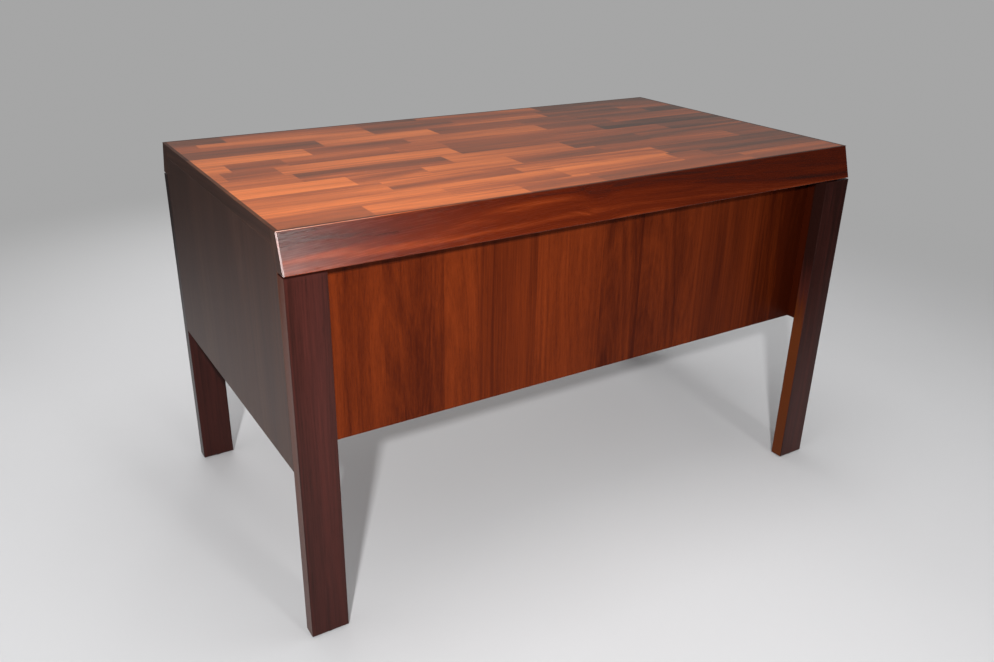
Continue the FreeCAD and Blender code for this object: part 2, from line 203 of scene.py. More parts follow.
# Where the heartwood of a fascia ends, as shares of its length and of its drop
HEART_LINE = ((0.0, 0.65), (0.08, 0.54), (0.16, 0.42), (0.24, 0.31), (0.32, 0.19),
              (0.4, 0.14), (0.44, 0.24), (0.47, 0.36), (0.51, 0.28), (0.58, 0.33),
              (0.71, 0.51), (0.87, 0.79), (1.0, 0.92))

# How far above and below that line the heartwood fades, and how it changes the tone there
HEART_FADE = (-0.004, 0.005)
HEART_TONES = (-0.22, 0.11)

# Outline of a screw's head from its top, as shares of its radius and its height, and
# how much of that height the slot is cut in
HEAD_OUTLINE = ((0.0, 0.0), (0.45, 0.06), (0.8, 0.24), (0.97, 0.55), (1.0, 0.895), (1.0, 1.0))
SLOT_SHARE = 0.35

# A screw's tip beside its shank, and the shares of its radius past which a corner is
# on its head, or off its middle line
TIP_SHARE = 0.15
HEAD_SHARE = 0.9
MIDDLE_SHARE = 0.1

# The chamfer at a dowel's ends as a share of its radius
DOWEL_CHAMFER = 0.15

# The rounded rim of a glide as a share of its thickness, and where it starts between
# the flat of the foot and the rim
GLIDE_ROLL = 0.3
GLIDE_FLARE = 0.75

# Steps round the screws, the dowels and the glides
SCREW_STEPS = 20
DOWEL_STEPS = 24
GLIDE_STEPS = 40

# The floor, the turns a metre and the shade of its mottle, and from where to where it
# blends into the backdrop
FLOOR_RADIUS = 60.0
FLOOR_STEPS = 96
FLOOR_ROUGHNESS = 0.8
FLOOR_RATE = (0.9, 0.9, 0.9)
FLOOR_SHADE = 0.96
FLOOR_FADE = (1.0, 2.8)

# How much dimmer the lacquer mirrors the backdrop: on the visitor's side, and on the
# sitter's side in the floor and above it. It changes from this far on one side of the
# desk to as far on the other, in metres on the floor and by direction above it.
VISITOR_DIM = 0.95
FLOOR_DIM = 0.8
WORLD_DIM = 0.2
FLOOR_REACH = 2.16
WORLD_REACH = 0.6

# Width and height of each lamp, and its spread in degrees
LAMPS = {"key": (0.06, 0.06, 110), "wash": (0.14, 0.14, 180), "overhead": (1.2, 1.2, 180),
         "ceiling": (4.0, 4.0, 180), "left": (2.0, 2.0, 180), "front": (0.4, 0.8, 180),
         "sheen": (0.4, 0.8, 26), "back": (2.4, 1.2, 180), "glint": (0.5, 0.5, 20)}

# Places of the lamps. The key lamp hangs this far over the camera, and the wash lamp this
# many times as far from the modesty panel's edge as the key lamp.
LAMP_PLACES = {"overhead": (0.0, -0.2, 2.6), "ceiling": (0.0, 0.0, 3.0),
               "left": (-2.5, 0.0, 3.0), "front": (0.15, -3.4, 1.5),
               "sheen": (0.15, -3.4, 1.5), "back": (0.0, 3.0, 1.4),
               "glint": (-3.5, -1.2, 0.9)}
KEY_RISE = 0.11
WASH_REACH = 2.0

# Lamps that the lacquer doesn't mirror, and lamps that only the lacquer mirrors
UNMIRRORED = ("key", "wash", "overhead", "front", "back")
MIRRORED_ONLY = ("sheen", "glint")

# What a lamp lights where that isn't everything
LIT = {"key": [node + ".finish" for node in NODES], "wash": ["floor"], "overhead": ["floor"],
       "sheen": ["fascia_visitor_side.finish", "modesty_panel.finish"],
       "glint": ["fascia_visitor_side.finish"]}


def number(name, words, default, **settings):
    """A number that the user can change, described by its name and a few words."""
    return bpy.props.FloatProperty(name=name, description="%s, %s" % (name, words),
                                   default=default, **settings)


def length(name, default):
    """A length that the user can change."""
    return number(name, "in metres", default, min=0.0, unit="LENGTH", precision=5)


def share(name, default):
    """A share that the user can change."""
    return number(name, "from nothing to all", default, min=0.0, max=1.0, subtype="FACTOR")


def power(name, default):
    """The power of a lamp."""
    return number(name, "in watts", default, min=0.0, unit="POWER")


def angle(name, degrees):
    """An angle that the user can change."""
    return number(name, "as an angle", math.radians(degrees), unit="ROTATION")


def colour(name, default):
    """A colour that the user can change."""
    return bpy.props.FloatVectorProperty(name=name, description=name + ", in linear light",
                                         default=default, size=3, min=0.0, max=1.0,
                                         subtype="COLOR")


class DeskShapes(bpy.types.PropertyGroup):
    """Sizes of the edges and small parts."""

    veneer_arris: length("Width of the eased edge round the top veneer", 0.0006)
    board_arris: length("Width of the eased edges of rosewood boards", 0.0008)
    veneer_border: length("Width of the dark edge round the patchwork", 0.006)
    end_chamfer: length("Width of the chamfers at a fascia's ends", 0.0022)
    inner_arris: length("Width of the eased edges inside the case", 0.0005)
    shortest_arris: length("Edges shorter than this stay sharp", 0.006)
    slot_width: length("Width of the slot in a screw head", 0.0009)
    slot_depth: length("Depth of the slot in a screw head", 0.0008)
    flute_depth: length("Depth of the flutes along a dowel", 0.0002)


class RosewoodColours(bpy.types.PropertyGroup):
    """Colours of the rosewood, from its dark lines to its brightest wood."""

    top_line: colour("Dark lines in the patchwork", (0.085, 0.034, 0.018))
    top_dark: colour("Darkest strips of the patchwork", (0.15, 0.052, 0.026))
    top_middle: colour("Middling strips of the patchwork", (0.37, 0.09, 0.03))
    top_pale: colour("Palest strips of the patchwork", (0.77, 0.2, 0.05))
    top_flame: colour("Brightest streaks of the patchwork", (0.84, 0.25, 0.07))
    # A painted highlight on the veneer's edge, pale at the left end of the top
    top_edge_highlight: colour("Painted highlight on the veneer's edge", (0.5, 0.3, 0.24))
    fascia_heart: colour("Heartwood of the fascias", (0.043, 0.0048, 0.0012))
    fascia_flame: colour("Bright wood of the fascias", (0.066, 0.0078, 0.0013))
    leg_line: colour("Dark lines of the legs", (0.014, 0.0045, 0.0035))
    leg_ground: colour("Ground of the legs", (0.041, 0.0098, 0.0075))
    leg_flame: colour("Bright streaks of the legs", (0.086, 0.017, 0.001))
    end_line: colour("Dark lines of the end panels", (0.022, 0.0095, 0.0055))
    end_ground: colour("Ground of the end panels", (0.045, 0.018, 0.0118))
    end_flame: colour("Bright streaks of the end panels", (0.09, 0.042, 0.023))
    # The panels' greens and blues are raised a little: partly the wood's colour, partly painted
    # sheen of the lacquer
    panel_line: colour("Dark lines of the panels", (0.033, 0.0042, 0.001))
    panel_ground: colour("Ground of the panels", (0.0925, 0.0138, 0.0023))
    panel_flame: colour("Bright wood of the panels", (0.169, 0.0268, 0.005))


class InnerColours(bpy.types.PropertyGroup):
    """Colours of the woods inside the case, and of the small parts."""

    hardwood_line: colour("Grain lines of the drawer boxes", (0.36, 0.2, 0.085))
    hardwood: colour("Ground of the drawer boxes", (0.56, 0.35, 0.17))
    plywood: colour("Face of the drawer bottoms", (0.6, 0.41, 0.23))
    core: colour("Underside of the top", (0.3, 0.19, 0.11))
    beech: colour("Dowels", (0.58, 0.42, 0.27))
    steel: colour("Screws", (0.46, 0.44, 0.41))
    nylon: colour("Glides under the feet", (0.035, 0.028, 0.024))


class GrainSettings(bpy.types.PropertyGroup):
    """Scale and strength of the grain, and the lacquer over it."""

    ring_width: length("Usual width of a band of growth rings", 0.012)
    sway: length("How far the grain wanders", 0.02)
    figure: share("Strength of the growth rings", 0.9)
    zones: share("Strength of the broad changes of colour", 0.8)
    fibre: share("Strength of the fine fibres", 0.3)
    pores: share("Strength of the pores", 0.35)
    roughness: share("Roughness of the satin lacquer", 0.3)


class StageSettings(bpy.types.PropertyGroup):
    """The camera, the lamps and the floor."""

    camera_place: bpy.props.FloatVectorProperty(
        name="Camera", description="Place of the camera", size=3, subtype="TRANSLATION",
        default=(-1.02966, -1.57227, 1.157))
    camera_azimuth: angle("Turn of the camera round the desk", -32.444)
    camera_elevation: angle("How far the camera looks down", 23.984)
    camera_roll: angle("Tilt of the camera about its view", 1.2108)
    camera_lens: number("Focal length on a frame 36 mm wide", "in millimetres", 32.592,
                        unit="CAMERA")
    key_power: power("The small lamp over the camera, for the desk", 21.0)
    wash_power: power("The lamp behind the camera, for the floor", 115.0)
    overhead_power: power("The soft lamp overhead, for the floor", 17.0)
    ceiling_power: power("The broad lamp overhead", 8.0)
    left_power: power("The lamp high on the left", 12.0)
    front_power: power("The tall lamp behind the camera", 22.0)
    sheen_power: power("The front lamp in what the lacquer mirrors", 0.42)
    back_power: power("The lamp on the sitter's side", 40.0)
    glint_power: power("The lamp that only the fascia's lacquer mirrors", 0.8)
    ambient: share("Strength of the light from all round", 0.25)
    floor_colour: colour("Colour of the floor", (0.64, 0.64, 0.65))
    backdrop: colour("Colour beyond the floor", (0.38, 0.38, 0.38))


# Shader nodes
def feed(tree, node, inputs):
    """Give each named input of a node a value or a link."""
    for key, value in inputs.items():
        if isinstance(value, bpy.types.NodeSocket):
            tree.links.new(value, node.inputs[key])
        else:
            node.inputs[key].default_value = value


def add(tree, kind, inputs=None, **settings):
    """Add a shader node with its settings and inputs."""
    node = tree.nodes.new("ShaderNode" + kind)
    for name, value in settings.items():
        setattr(node, name, value)
    feed(tree, node, inputs or {})
    return node


def maths(tree, operation, *values):
    """The result of a sum on numbers or sockets."""
    return add(tree, "Math", dict(enumerate(values)), operation=operation).outputs[0]


def vectors(tree, operation, *values, output="Vector"):
    """The result of a sum on vectors."""
    return add(tree, "VectorMath", dict(enumerate(values)), operation=operation).outputs[output]


def about(tree, value, weight):
    """A value from 0 to 1 turned into a push either way of the given weight."""
    return maths(tree, "MULTIPLY", maths(tree, "SUBTRACT", value, 0.5), weight)


def fade(tree, value, start, end, low=0.0, high=1.0):
    """A smooth change from low to high while a value goes from start to end."""
    return add(tree, "MapRange", {"Value": value, "From Min": start, "From Max": end,
                                  "To Min": low, "To Max": high},
               interpolation_type="SMOOTHSTEP").outputs["Result"]


def noise(tree, place, rate, detail=2.0, rough=0.5, output="Fac"):
    """Noise that turns over so many times a metre along, across and through the grain."""
    scaled = vectors(tree, "MULTIPLY", place, rate)
    return add(tree, "TexNoise", {"Vector": scaled, "Scale": 1.0, "Detail": detail,
                                  "Roughness": rough}).outputs[output]


def ramp(tree, value, stops):
    """A colour ramp over stops, each its place and its linear colour."""
    node = add(tree, "ValToRGB", {"Fac": value})
    elements = node.color_ramp.elements
    while len(elements) < len(stops):
        elements.new(1.0)
    for element, (place, tint) in zip(elements, stops):
        element.position = place
        element.color = (*tint, 1.0)
    return node.outputs["Color"]


def mottled(tree, value, tint, shade):
    """A tint that drops to a shade of itself where a value is low."""
    dark = tuple(shade * part for part in tint)
    return ramp(tree, value, tuple(zip(MOTTLE_PLACES, (dark, tint))))


def attribute(tree, name, output="Fac"):
    """A value that the mesh carries on its faces or corners."""
    return add(tree, "Attribute", attribute_name=name).outputs[output]


def fresh_material(name):
    """A material with its tree and its shader, which is joined to the output."""
    material = bpy.data.materials.new(name)
    material.use_nodes = True
    tree = material.node_tree
    return material, tree, tree.nodes["Principled BSDF"]


def relief(tree, height, settings):
    """The slope of a surface that a height raises."""
    return add(tree, "Bump", {"Height": height, **settings}).outputs["Normal"]


# Woods
def wood(name, stops, figure=1.0, rings=1.0, index=1.25, gloss=1.0, heart=None):
    """Lacquered wood whose colour follows rings, broad zones, fibres and pores.

    The grain attribute holds each corner's place in the log: along it, across it and
    out from its pith. The tone attribute moves a whole strip up or down the stops.
    """
    grain = bpy.context.scene.desk_grain
    material, tree, shader = fresh_material(name)
    log = attribute(tree, "grain", "Vector")
    level = attribute(tree, "tone")
    if heart:
        log, level = heart(tree, log, level)
    wander = noise(tree, log, WANDER_RATE, detail=3.0, output="Color")
    wander = vectors(tree, "MULTIPLY", vectors(tree, "SUBTRACT", wander, (0.5, 0.5, 0.5)),
                     (0.0, 2 * grain.sway, 2 * grain.sway))
    swayed = vectors(tree, "ADD", vectors(tree, "MULTIPLY", log, (0.0, 1.0, 1.0)), wander)
    radius = vectors(tree, "LENGTH", swayed, output="Value")
    ring = add(tree, "TexNoise", {"W": maths(tree, "DIVIDE", radius, grain.ring_width * rings),
                                  **RING_NOISE}, noise_dimensions="1D").outputs["Fac"]
    zone = noise(tree, log, ZONE_RATE, detail=3.0)
    fibre = noise(tree, log, FIBRE_RATE)
    streak = noise(tree, log, STREAK_RATE, detail=3.0, rough=0.6)
    pore = fade(tree, noise(tree, log, PORE_RATE, detail=1.0), *PORE_EDGE)

    for value, weight in ((ring, grain.figure * figure), (zone, grain.zones * figure),
                          (streak, grain.fibre * STREAK_SHARE), (fibre, grain.fibre)):
        level = maths(tree, "ADD", level, about(tree, value, weight))
    level = maths(tree, "SUBTRACT", level,
                  maths(tree, "MULTIPLY", pore, grain.pores * PORE_SHARE))
    level = maths(tree, "ADD", level,
                  maths(tree, "MULTIPLY", attribute(tree, "worn"), WORN_LIFT))
    height = maths(tree, "SUBTRACT", maths(tree, "MULTIPLY", fibre, FIBRE_HEIGHT), pore)
    feed(tree, shader, {
        "Base Color": ramp(tree, level, stops), "IOR": index,
        "Roughness": maths(tree, "ADD", grain.roughness * gloss, about(tree, fibre, FIBRE_GLOSS)),
        "Normal": relief(tree, height, WOOD_RELIEF)})
    return material


def heart_line(tree, log, level):
    """Bend a fascia's grain along the line where its heartwood ends, and darken the heart."""
    low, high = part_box("fascia_visitor_side")
    apart = add(tree, "SeparateXYZ", {0: log})
    along = maths(tree, "DIVIDE", apart.outputs["X"], high.x - low.x)
    curve = add(tree, "FloatCurve", {"Factor": 1.0, "Value": along})
    line = curve.mapping.curves[0]
    while len(line.points) < len(HEART_LINE):
        line.points.new(0.5, 0.5)
    for point, place in zip(line.points, HEART_LINE):
        point.location = place
    curve.mapping.update()
    drop = maths(tree, "MULTIPLY", curve.outputs["Value"], high.z - low.z)
    across = maths(tree, "SUBTRACT", apart.outputs["Y"], drop)
    bent = add(tree, "CombineXYZ", {0: apart.outputs["X"], 1: across, 2: apart.outputs["Z"]})
    return bent.outputs[0], maths(tree, "ADD", level,
                                  fade(tree, across, *HEART_FADE, *HEART_TONES))


def stops_between(line, ground, flame):
    """Stops of a wood from its dark lines through its ground to its bright wood."""
    return tuple(zip(TONE_PLACES, (line, ground, flame)))


def stops_of(colours, name):
    """Stops of a wood that has three colours of its own."""
    return stops_between(*[getattr(colours, name + part)
                           for part in ("_line", "_ground", "_flame")])


def plain_material(name, tint, roughness, metallic=0.0):
    """A dull or metal finish with fine specks in its colour, gloss and relief."""
    material, tree, shader = fresh_material(name)
    place = add(tree, "TexCoord").outputs["Object"]
    speck = noise(tree, place, SPECK_RATE, detail=3.0)
    feed(tree, shader, {
        "Base Color": mottled(tree, speck, tint, SPECK_SHADE), "Metallic": metallic,
        "Roughness": maths(tree, "ADD", roughness, about(tree, speck, SPECK_GLOSS)),
        "Normal": relief(tree, speck, SPECK_RELIEF)})
    return material


# Meshes
def merged_copy(node):
    """A bmesh of a node's solid, its corners joined and its flat faces whole."""
    made = bmesh.new()
    made.from_mesh(NODES[node].data)
    for layer in list(made.loops.layers.uv):
        made.loops.layers.uv.remove(layer)
    bmesh.ops.remove_doubles(made, verts=made.verts, dist=MERGE)
    bmesh.ops.dissolve_limit(made, angle_limit=FLAT_ANGLE, verts=made.verts, edges=made.edges)
    return made


def ease(made, width):
    """Ease the long sharp edges that have no chamfer, and mark the new faces as worn."""
    shortest = bpy.context.scene.desk_shapes.shortest_arris
    layers = made.faces.layers.float
    worn = layers.get("worn") or layers.new("worn")
    sharp = [edge for edge in made.edges
             if edge.calc_face_angle(0.0) > SHARP_ANGLE and edge.calc_length() > shortest
             and not any(face[worn] for face in edge.link_faces)]
    eased = bmesh.ops.bevel(made, geom=sharp, offset=width, segments=3, profile=0.5,
                            affect="EDGES", material=-1, clamp_overlap=True)
    for face in eased["faces"]:
        face[worn] = 1.0


def eased_copy(node, width):
    """A merged copy of a node's solid with its edges eased."""
    made = merged_copy(node)
    ease(made, width)
    return made


def along_grain(place, grain):
    """A place in the order along the grain, across it and through it."""
    return Vector([place[axis] for axis in GRAIN_AXES[grain]])


def from_log(kind, draw, run_draw, centre):
    """The shift from a piece to its place in the log, and how steeply its pith runs out."""
    along, beside, near, far, run_out = LOGS[kind]
    there = Vector((draw.uniform(0.0, along), draw.uniform(-beside, beside),
                    draw.uniform(near, far)))
    return there - centre, run_draw.uniform(-run_out, run_out)


def board_log(kind, node, grain):
    """Where a whole board comes from in its log."""
    low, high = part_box(node)
    return from_log(kind, random.Random(node), random.Random(node + " run"),
                    along_grain((low + high) / 2, grain))


def lay_grain(made, grain, log_of, tone_of, downwards=False):
    """Write each corner's place in the log, and its tone, on the mesh.

    log_of gives the shift from a place on the board to its place in the log, and how
    steeply the pith runs out of the board, which draws the grain into flames. Downwards
    turns the measure across the grain round.
    """
    place = made.loops.layers.float_vector.new("grain")
    tone = made.loops.layers.float.new("tone")
    for face in made.faces:
        middle = face.calc_center_median()
        shift, run_out = log_of(middle)
        for loop in face.loops:
            loop[tone] = tone_of(middle, loop.vert.co)
            spot = along_grain(loop.vert.co, grain)
            there = spot + shift + Vector((0.0, 0.0, run_out * spot.x))
            if downwards:
                there.y = -there.y
            loop[place] = there


def place_object(name, made, *materials):
    """An object at the origin with the shape of a bmesh."""
    mesh = bpy.data.meshes.new(name)
    made.to_mesh(mesh)
    made.free()
    for material in materials:
        mesh.materials.append(material)
    piece = bpy.data.objects.new(name, mesh)
    bpy.context.scene.collection.objects.link(piece)
    return piece


def dress(node, made, *materials):
    """Turn a bmesh into the piece that stands for a node and rides on its body."""
    for face in made.faces:
        face.smooth = True
    for edge in made.edges:
        edge.smooth = edge.calc_face_angle(math.pi) < SHARP_ANGLE
    piece = place_object(node + ".finish", made, *materials)
    weighted = piece.modifiers.new("Flat faces", "WEIGHTED_NORMAL")
    weighted.keep_sharp = True
    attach(piece, BODY_OF[node])
    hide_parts(node)


def dress_board(node, material, grain, tone=0.5):
    """A solid board with eased arrises, cut from one place in the log."""
    made = eased_copy(node, bpy.context.scene.desk_shapes.inner_arris)
    log = board_log("board", node, grain)
    lay_grain(made, grain, lambda middle: log, lambda middle, corner: tone)
    dress(node, made, material)


def slice_faces(made, axis, place, chosen=lambda middle: True):
    """Cut the chosen faces by a plane square to an axis."""
    faces = [face for face in made.faces if chosen(face.calc_center_median())]
    edges = {edge for face in faces for edge in face.edges}
    verts = {vert for face in faces for vert in face.verts}
    normal = Vector((0.0, 0.0, 0.0))
    normal[axis] = 1.0
    bmesh.ops.bisect_plane(made, geom=[*faces, *edges, *verts], dist=MERGE,
                           plane_co=normal * place, plane_no=normal)


def joints_of(shares, low, high):
    """Places of the joints between pieces that take these shares of a length."""
    total = sum(shares)
    places = [low]
    for part in shares:
        places.append(places[-1] + (high - low) * part / total)
    return places


def interval(places, value):
    """Which interval between rising places holds a value."""
    return sum(value > place for place in places[1:-1])


def solids_of(node):
    """The corners of each solid of a node."""
    made = merged_copy(node)
    reached = set()
    found = []
    for start in made.verts:
        if start not in reached:
            reached.add(start)
            group = [start]
            for vert in group:
                near = [edge.other_vert(vert) for edge in vert.link_edges]
                fresh = [other for other in near if other not in reached]
                reached.update(fresh)
                group.extend(fresh)
            found.append([vert.co.copy() for vert in group])
    made.free()
    return found


def span(corners):
    """Lowest and highest corner of some points."""
    low = Vector([min(corner[axis] for corner in corners) for axis in range(3)])
    high = Vector([max(corner[axis] for corner in corners) for axis in range(3)])
    return low, high


def half_width(corners):
    """Half the reach of some points along X."""
    low, high = span(corners)
    return (high.x - low.x) / 2


def lie(corners):
    """The ends of a round solid, its size, its long axis and its middle."""
    low, high = span(corners)
    size = high - low
    return low, high, size, max(range(3), key=lambda axis: size[axis]), (low + high) / 2


def off_axis(corner, centre, axis):
    """How far a corner lies from the line through a centre along an axis."""
    return math.hypot(*[corner[other] - centre[other] for other in range(3) if other != axis])


def lathe(profile, steps):
    """A closed turning about Z from a profile of radius and height."""
    made = bmesh.new()
    verts = [made.verts.new((radius, 0.0, height)) for radius, height in profile]
    edges = [made.edges.new(pair) for pair in zip(verts, verts[1:])]
    bmesh.ops.spin(made, geom=[*verts, *edges], cent=(0, 0, 0), axis=(0, 0, 1),
                   angle=2 * math.pi, steps=steps, use_merge=True)
    bmesh.ops.remove_doubles(made, verts=made.verts, dist=MERGE)
    bmesh.ops.recalc_face_normals(made, faces=made.faces)
    return made


def place_part(target, source, matrix):
    """Move one bmesh into another, and free it."""
    mesh = bpy.data.meshes.new("part")
    source.to_mesh(mesh)
    source.free()
    mesh.transform(matrix)
    target.from_mesh(mesh)
    bpy.data.meshes.remove(mesh)


def pointing(axis, way, place):
    """The transform that turns +Z along an axis, up or down it, and moves it to a place."""
    direction = Vector((0.0, 0.0, 0.0))
    direction[axis] = way
    turn = Vector((0.0, 0.0, 1.0)).rotation_difference(direction)
    return Matrix.Translation(place) @ turn.to_matrix().to_4x4()


def extrude_up(made, faces, rise):
    """Extrude faces along Z."""
    moved = bmesh.ops.extrude_face_region(made, geom=faces)["geom"]
    verts = [item for item in moved if isinstance(item, bmesh.types.BMVert)]
    bmesh.ops.translate(made, verts=verts, vec=(0.0, 0.0, rise))


def slotted_screw(head, height, shank, whole, shapes):
    """A screw that hangs down from the origin: a domed head with a slot, a shank and a point."""
    profile = [(head * wide, -height * deep) for wide, deep in HEAD_OUTLINE]
    profile += [(shank, -height), (shank, -whole + 2 * shank), (shank * TIP_SHARE, -whole),
                (0.0, -whole)]
    made = lathe(profile, SCREW_STEPS)
    half = shapes.slot_width / 2
    for place in (-half, half):
        slice_faces(made, 0, place, lambda middle: middle.z > -height)
    middles = [(face, face.calc_center_median()) for face in made.faces]
    floor = [face for face, middle in middles
             if abs(middle.x) < half and middle.z > -height * SLOT_SHARE]
    extrude_up(made, floor, -shapes.slot_depth)
    bmesh.ops.delete(made, geom=floor, context="FACES")
    bmesh.ops.recalc_face_normals(made, faces=made.faces)
    return made


def fluted_pin(radius, tall, flute):
    """A pin that stands on the origin, with flutes along it and chamfered ends."""
    made = bmesh.new()
    ring = bmesh.ops.create_circle(made, cap_ends=True, radius=radius,
                                   segments=DOWEL_STEPS)["verts"]
    for index, vert in enumerate(ring):
        if index % 2:
            vert.co *= (radius - flute) / radius
    extrude_up(made, made.faces[:], tall)
    bmesh.ops.recalc_face_normals(made, faces=made.faces)
    rims = [edge for edge in made.edges if abs(edge.verts[0].co.z - edge.verts[1].co.z) < MERGE]
    bmesh.ops.bevel(made, geom=rims, offset=radius * DOWEL_CHAMFER, segments=1, profile=0.5,
                    affect="EDGES", material=-1)
    return made


# Operators
class DESK_OT_top(bpy.types.Operator):
    """Lay the patchwork veneer, and dress the core and its lippings"""

    bl_idname = "desk.top"
    bl_label = "Top"

    def execute(self, context):
        shapes = context.scene.desk_shapes
        colours = context.scene.desk_rosewood
        inner = context.scene.desk_inner
        stops = ((0.0, colours.top_line), (0.15, colours.top_dark), (0.5, colours.top_middle),
                 (0.85, colours.top_pale), (1.0, colours.top_flame))
        veneer = wood("rosewood_patchwork", stops, figure=1.25, rings=2.4, index=1.33)
        # The rim's stops rise to the painted highlight on the veneer's edge
        stops = stops_between(colours.leg_ground, colours.top_middle, colours.top_edge_highlight)
        rim = wood("rosewood_veneer_edge", stops, index=1.15)
        stops = stops_between(colours.leg_ground, colours.top_line, colours.top_dark)
        border = wood("rosewood_border", stops, index=1.15)
        self.lay_veneer(shapes, veneer, rim, border)
        core = wood("blockboard_core", stops_between(inner.core, inner.core, inner.plywood))
        dress_board("top_core", core, "x")
        band = wood("rosewood_lipping", stops_of(colours, "end"), index=1.33, gloss=1.5)
        for side in SIDES:
            dress_board("end_lipping_" + side, band, "y")
        return {"FINISHED"}

    def lay_veneer(self, shapes, *materials):
        """Cut the veneer into strips, each from its own log, with a rim that carries a painted
        highlight, and a border.
        """
        low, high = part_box("top_veneer")
        made = eased_copy("top_veneer", shapes.veneer_arris)
        strips = list(reversed(STRIP_ROWS))
        rows = joints_of([1] * len(strips), low.y, high.y)
        joints = [joints_of([part for name, part in row], low.x, high.x) for row in strips]
        border = shapes.veneer_border
        for axis in (0, 1):
            for place in (low[axis] + border, high[axis] - border):
                slice_faces(made, axis, place)
        for place in rows[1:-1]:
            slice_faces(made, 1, place)
        for index, places in enumerate(joints):
            for place in places[1:-1]:
                slice_faces(made, 0, place,
                            lambda middle: rows[index] < middle.y < rows[index + 1])

        def strip_at(middle):
            row = interval(rows, middle.y)
            return row, interval(joints[row], middle.x)

        def log_of(middle):
            row, column = strip_at(middle)
            draw = random.Random("strip %d %d" % (row, column))
            centre = Vector((0.0, (rows[row] + rows[row + 1]) / 2, high.z))
            return from_log("strip", draw, draw, centre)

        def tone_of(middle, corner):
            # The rim carries a painted highlight: pale at the left end, fading out along the top
            if min(middle.y - low.y, high.y - middle.y) < shapes.veneer_arris:
                return 1.0 - (corner.x - low.x) / (high.x - low.x) / EDGE_HIGHLIGHT_SHARE
            row, column = strip_at(middle)
            draw = random.Random("tone %d %d" % (row, column))
            return WOODS[strips[row][column][0]] + draw.uniform(-STRIP_VARIETY, STRIP_VARIETY)
        lay_grain(made, "x", log_of, tone_of)
        made.normal_update()
        for face in made.faces:
            middle = face.calc_center_median()
            at_border = min(*(middle - low).xy, *(high - middle).xy) < border
            face.material_index = 1 if abs(face.normal.y) > LEANING else 2 * at_border
        dress("top_veneer", made, *materials)


class DESK_OT_fascias(bpy.types.Operator):
    """Dress the two canted fascia boards"""

    bl_idname = "desk.fascias"
    bl_label = "Fascia Boards"

    def execute(self, context):
        shapes = context.scene.desk_shapes
        colours = context.scene.desk_rosewood
        stops = ((0.0, colours.leg_line), (0.3, colours.fascia_heart), (0.62, colours.fascia_flame),
                 (1.0, colours.panel_flame))
        figured = wood("rosewood_fascia", stops, rings=0.6, index=1.5, gloss=0.9,
                       heart=heart_line)
        ends = wood("rosewood_fascia_ends", stops_of(colours, "end"), index=1.33, gloss=1.5)
        rubbed = wood("rosewood_fascia_chamfer", stops, index=1.5)
        for person in PERSONS:
            node = "fascia_%s_side" % person
            low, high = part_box(node)
            made = merged_copy(node)
            made.normal_update()
            self.chamfer_ends(made, high.x, math.copysign(1.0, low.y + high.y),
                              shapes.end_chamfer)
            ease(made, shapes.board_arris)
            made.normal_update()
            worn = made.faces.layers.float["worn"]
            for face in made.faces:
                at_end = abs(face.normal.x) > STRAIGHT
                chamfered = face[worn] and face.calc_area() > BROAD
                face.material_index = 1 if at_end else 2 if chamfered else 0
            shift = Vector((-low.x, -high.z, 0.0))
            lay_grain(made, "x_upright", lambda middle: (shift, 0.0),
                      lambda middle, corner: 0.5, downwards=True)
            dress(node, made, figured, ends, rubbed)
        return {"FINISHED"}

    def chamfer_ends(self, made, reach, facing, width):
        """Cut a flat chamfer at both ends of the outer face, and mark it as worn."""
        worn = made.faces.layers.float.new("worn")
        outer = max((face for face in made.faces if face.normal.y * facing > STRAIGHT),
                    key=lambda face: face.calc_area())
        spot = outer.verts[0].co.copy()
        slope = outer.normal.copy()
        for side in (-1.0, 1.0):
            corner = Vector((side * reach, spot.y, spot.z))
            normal = (slope + Vector((side, 0.0, 0.0))).normalized()
            cut = bmesh.ops.bisect_plane(made, geom=[*made.verts, *made.edges, *made.faces],
                                         dist=MERGE, plane_no=normal, clear_outer=True,
                                         plane_co=corner - normal * width * math.sqrt(0.5))
            rim = [item for item in cut["geom_cut"] if isinstance(item, bmesh.types.BMEdge)]
            for face in bmesh.ops.edgeloop_fill(made, edges=rim)["faces"]:
                face[worn] = 1.0


class DESK_OT_legs(bpy.types.Operator):
    """Dress the four legs"""

    bl_idname = "desk.legs"
    bl_label = "Legs"

    def execute(self, context):
        material = wood("rosewood_leg", stops_of(context.scene.desk_rosewood, "leg"),
                        figure=0.65)
        for person in PERSONS:
            for side in SIDES:
                self.dress_leg("%s_%s" % (person, side), material)
        return {"FINISHED"}

    def dress_leg(self, corner_name, material):
        """A leg whose tone changes towards its foot, and more so on its narrow sides; on the
        visitor's right leg the dark top is painted shade.
        """
        node = "leg_" + corner_name
        low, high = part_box(node)
        made = eased_copy(node, bpy.context.scene.desk_shapes.board_arris)
        log = board_log("leg", node, "z")

        def tone_of(middle, corner):
            at_side = min(middle.x - low.x, high.x - middle.x) < MERGE
            # On the visitor's right leg the dark top is painted shade under the fascia
            top, foot = (LEG_SIDE_TONES_AND_SHADE if at_side else LEG_FACE_TONES_AND_SHADE)[corner_name]
            return foot + (top - foot) * (corner.z - low.z) / (high.z - low.z)
        lay_grain(made, "z", lambda middle: log, tone_of)
        dress(node, made, material)


